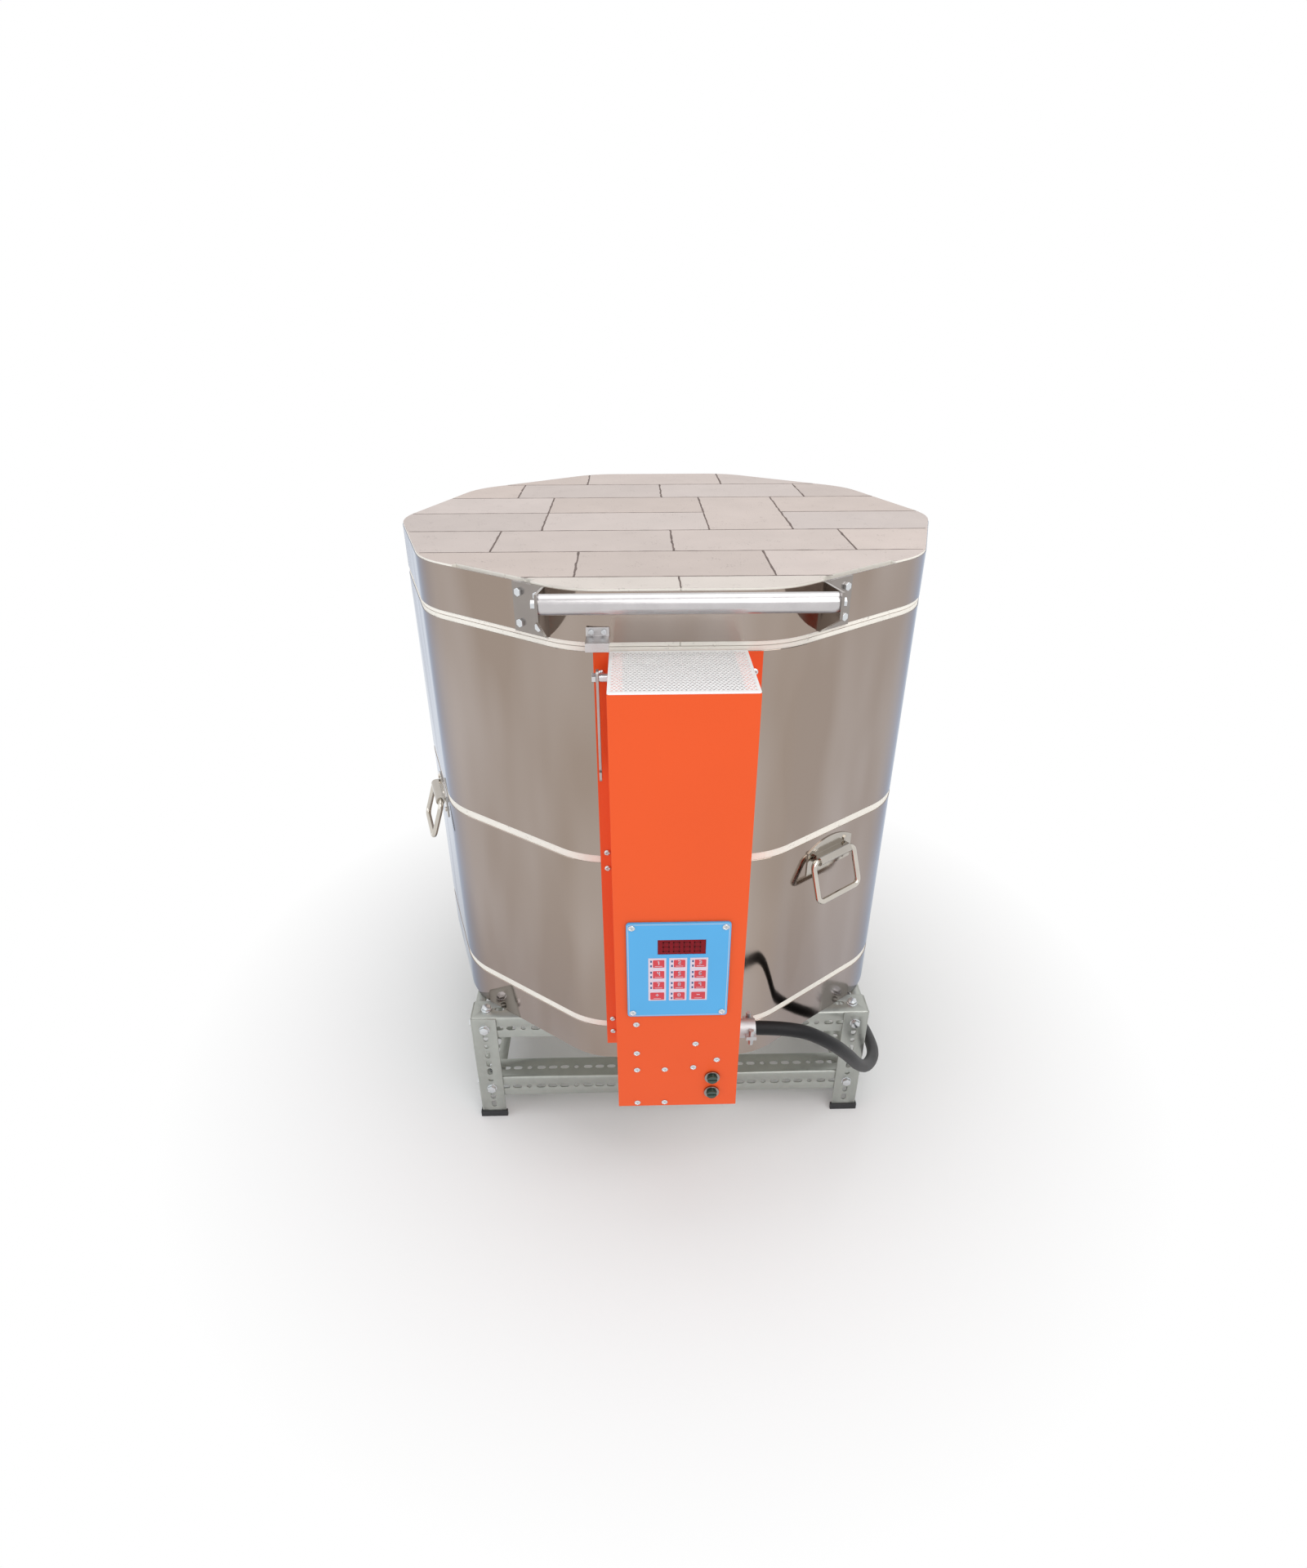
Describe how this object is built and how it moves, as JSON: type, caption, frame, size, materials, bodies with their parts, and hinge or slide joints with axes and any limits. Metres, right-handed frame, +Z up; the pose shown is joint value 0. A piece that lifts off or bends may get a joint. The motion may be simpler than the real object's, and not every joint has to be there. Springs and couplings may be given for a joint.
{
  "type": "ceramic kiln",
  "caption": "Top-loading ten-sided electric kiln for ceramics: firebrick rings in steel jackets, hinged brick lid with prop, control box with keypad, slotted-angle stand.",
  "frame": {"origin": "on the floor, directly under the vertical axis of the ten-sided chamber", "axes": "+Z up along the chamber's axis; -Y to the front, where the control box and the lid handle are; +X to the right as seen from the front; the hinge is at +Y"},
  "size_m": [0.7776, 0.8833, 0.9335],
  "materials": {
    "firebrick": "dry, porous insulating firebrick, soft mottled off-white",
    "jacket_steel": "thin stainless sheet, mirror-bright with faint ripples",
    "orange_enamel": "glossy orange-red powder coat",
    "grille_steel": "perforated sheet, bright satin",
    "galvanised_angle": "matt zinc-coated slotted angle",
    "bolt_steel": "zinc-plated hexagon and pan heads",
    "black_plastic": "moulded black foot caps",
    "panel_face": "smooth light-blue membrane over a plate",
    "display_red": "dark red display filter",
    "key_red": "red keys with white borders",
    "board_green": "glass-epoxy circuit board",
    "electrical_plastic": "moulded black insulating bodies",
    "core_iron": "laminated iron core with a wound bobbin",
    "element_wire": "oxidised resistance wire coil",
    "porcelain": "unglazed porcelain bushings and sheath",
    "fuse_ring": "bright metal ring",
    "fuse_cap_green": "dark green slotted cap",
    "clamp_metal": "die-cast squeeze connector",
    "cord_rubber": "thick black rubber-jacketed lead",
    "plug_rubber": "moulded black plug",
    "plug_brass": "brass blades and earth pin",
    "hinge_steel": "plain steel leaves and rod",
    "handle_steel": "bright steel tube and brackets",
    "prop_steel": "plain steel flat and bolt",
    "plate_steel": "bright pressed plate and rolled barrel",
    "bail_chrome": "bright bent rod"
  },
  "bodies": {
    "kiln": {"floor_slab": "firebrick", "lower_ring_bricks": "firebrick", "upper_ring_bricks": "firebrick", "floor_band": "jacket_steel", "lower_jacket": "jacket_steel", "upper_jacket": "jacket_steel", "heating_elements": "element_wire", "element_feedthroughs": "porcelain", "thermocouple": "porcelain", "stand_legs": "galvanised_angle", "stand_top_rails": "galvanised_angle", "stand_low_rails": "galvanised_angle", "stand_bolts": "bolt_steel", "foot_caps": "black_plastic", "box_back_plate": "orange_enamel", "box_cover": "orange_enamel", "top_grille": "grille_steel", "box_screws": "bolt_steel", "controller_plate": "panel_face", "display_window": "display_red", "circuit_board": "board_green", "relays": "electrical_plastic", "transformer": "core_iron", "terminal_block": "electrical_plastic", "fuse_holders": "fuse_ring", "cord_clamp": "clamp_metal", "cord_run": "cord_rubber", "cord_coil": "cord_rubber", "plug_body": "plug_rubber", "plug_blades": "plug_brass", "hinge_body_leaf": "hinge_steel", "hinge_pin": "hinge_steel", "prop_pivot": "prop_steel", "lifting_handle_plates": "plate_steel"},
    "lid": {"lid_bricks": "firebrick", "lid_band": "jacket_steel", "lid_handle_tube": "handle_steel", "lid_handle_brackets": "handle_steel", "lid_handle_bolts": "bolt_steel", "lid_catch": "handle_steel", "hinge_lid_leaf": "hinge_steel"},
    "prop": {"prop_arm": "prop_steel"},
    "bail_front_right": {"bail_front_right": "bail_chrome"},
    "bail_front_left": {"bail_front_left": "bail_chrome"},
    "bail_rear_right": {"bail_rear_right": "bail_chrome"},
    "bail_rear_left": {"bail_rear_left": "bail_chrome"},
    "key_1": {"key_1": "key_red"},
    "key_2": {"key_2": "key_red"},
    "key_3": {"key_3": "key_red"},
    "key_4": {"key_4": "key_red"},
    "key_5": {"key_5": "key_red"},
    "key_6": {"key_6": "key_red"},
    "key_7": {"key_7": "key_red"},
    "key_8": {"key_8": "key_red"},
    "key_9": {"key_9": "key_red"},
    "key_10": {"key_10": "key_red"},
    "key_11": {"key_11": "key_red"},
    "key_12": {"key_12": "key_red"},
    "upper_fuse_cap": {"upper_fuse_cap": "fuse_cap_green"},
    "lower_fuse_cap": {"lower_fuse_cap": "fuse_cap_green"}
  },
  "joints": [
    {"name": "lid_hinge", "type": "hinge", "parent": "kiln", "child": "lid", "pos_m": [0, 0.3799, 0.856], "axis": [-1, 0, 0], "range_deg": [0, 95]},
    {"name": "prop_swing", "type": "hinge", "parent": "kiln", "child": "prop", "pos_m": [-0.091, -0.387, 0.828], "axis": [-1, 0, 0], "range_deg": [0, 140]},
    {"name": "bail_front_right_swing", "type": "hinge", "parent": "kiln", "child": "bail_front_right", "pos_m": [0.22065, -0.30371, 0.53125], "axis": [-0.809, -0.5878, 0], "range_deg": [0, 82]},
    {"name": "bail_front_left_swing", "type": "hinge", "parent": "kiln", "child": "bail_front_left", "pos_m": [-0.35703, -0.116, 0.53125], "axis": [-0.309, 0.9511, 0], "range_deg": [0, 82]},
    {"name": "bail_rear_right_swing", "type": "hinge", "parent": "kiln", "child": "bail_rear_right", "pos_m": [0.35703, 0.116, 0.53125], "axis": [0.309, -0.9511, 0], "range_deg": [0, 82]},
    {"name": "bail_rear_left_swing", "type": "hinge", "parent": "kiln", "child": "bail_rear_left", "pos_m": [-0.22065, 0.30371, 0.53125], "axis": [0.809, 0.5878, 0], "range_deg": [0, 82]},
    {"name": "key_1_press", "type": "slide", "parent": "kiln", "child": "key_1", "axis": [0, 1, 0], "range_m": [0, 0.0005], "stiffness_N_per_m": 400},
    {"name": "key_2_press", "type": "slide", "parent": "kiln", "child": "key_2", "axis": [0, 1, 0], "range_m": [0, 0.0005], "stiffness_N_per_m": 400},
    {"name": "key_3_press", "type": "slide", "parent": "kiln", "child": "key_3", "axis": [0, 1, 0], "range_m": [0, 0.0005], "stiffness_N_per_m": 400},
    {"name": "key_4_press", "type": "slide", "parent": "kiln", "child": "key_4", "axis": [0, 1, 0], "range_m": [0, 0.0005], "stiffness_N_per_m": 400},
    {"name": "key_5_press", "type": "slide", "parent": "kiln", "child": "key_5", "axis": [0, 1, 0], "range_m": [0, 0.0005], "stiffness_N_per_m": 400},
    {"name": "key_6_press", "type": "slide", "parent": "kiln", "child": "key_6", "axis": [0, 1, 0], "range_m": [0, 0.0005], "stiffness_N_per_m": 400},
    {"name": "key_7_press", "type": "slide", "parent": "kiln", "child": "key_7", "axis": [0, 1, 0], "range_m": [0, 0.0005], "stiffness_N_per_m": 400},
    {"name": "key_8_press", "type": "slide", "parent": "kiln", "child": "key_8", "axis": [0, 1, 0], "range_m": [0, 0.0005], "stiffness_N_per_m": 400},
    {"name": "key_9_press", "type": "slide", "parent": "kiln", "child": "key_9", "axis": [0, 1, 0], "range_m": [0, 0.0005], "stiffness_N_per_m": 400},
    {"name": "key_10_press", "type": "slide", "parent": "kiln", "child": "key_10", "axis": [0, 1, 0], "range_m": [0, 0.0005], "stiffness_N_per_m": 400},
    {"name": "key_11_press", "type": "slide", "parent": "kiln", "child": "key_11", "axis": [0, 1, 0], "range_m": [0, 0.0005], "stiffness_N_per_m": 400},
    {"name": "key_12_press", "type": "slide", "parent": "kiln", "child": "key_12", "axis": [0, 1, 0], "range_m": [0, 0.0005], "stiffness_N_per_m": 400},
    {"name": "upper_fuse_cap_turn", "type": "hinge", "parent": "kiln", "child": "upper_fuse_cap", "pos_m": [0.045, -0.49, 0.309], "axis": [0, -1, 0], "range_deg": [0, 90]},
    {"name": "lower_fuse_cap_turn", "type": "hinge", "parent": "kiln", "child": "lower_fuse_cap", "pos_m": [0.045, -0.49, 0.282], "axis": [0, -1, 0], "range_deg": [0, 90]}
  ]
}
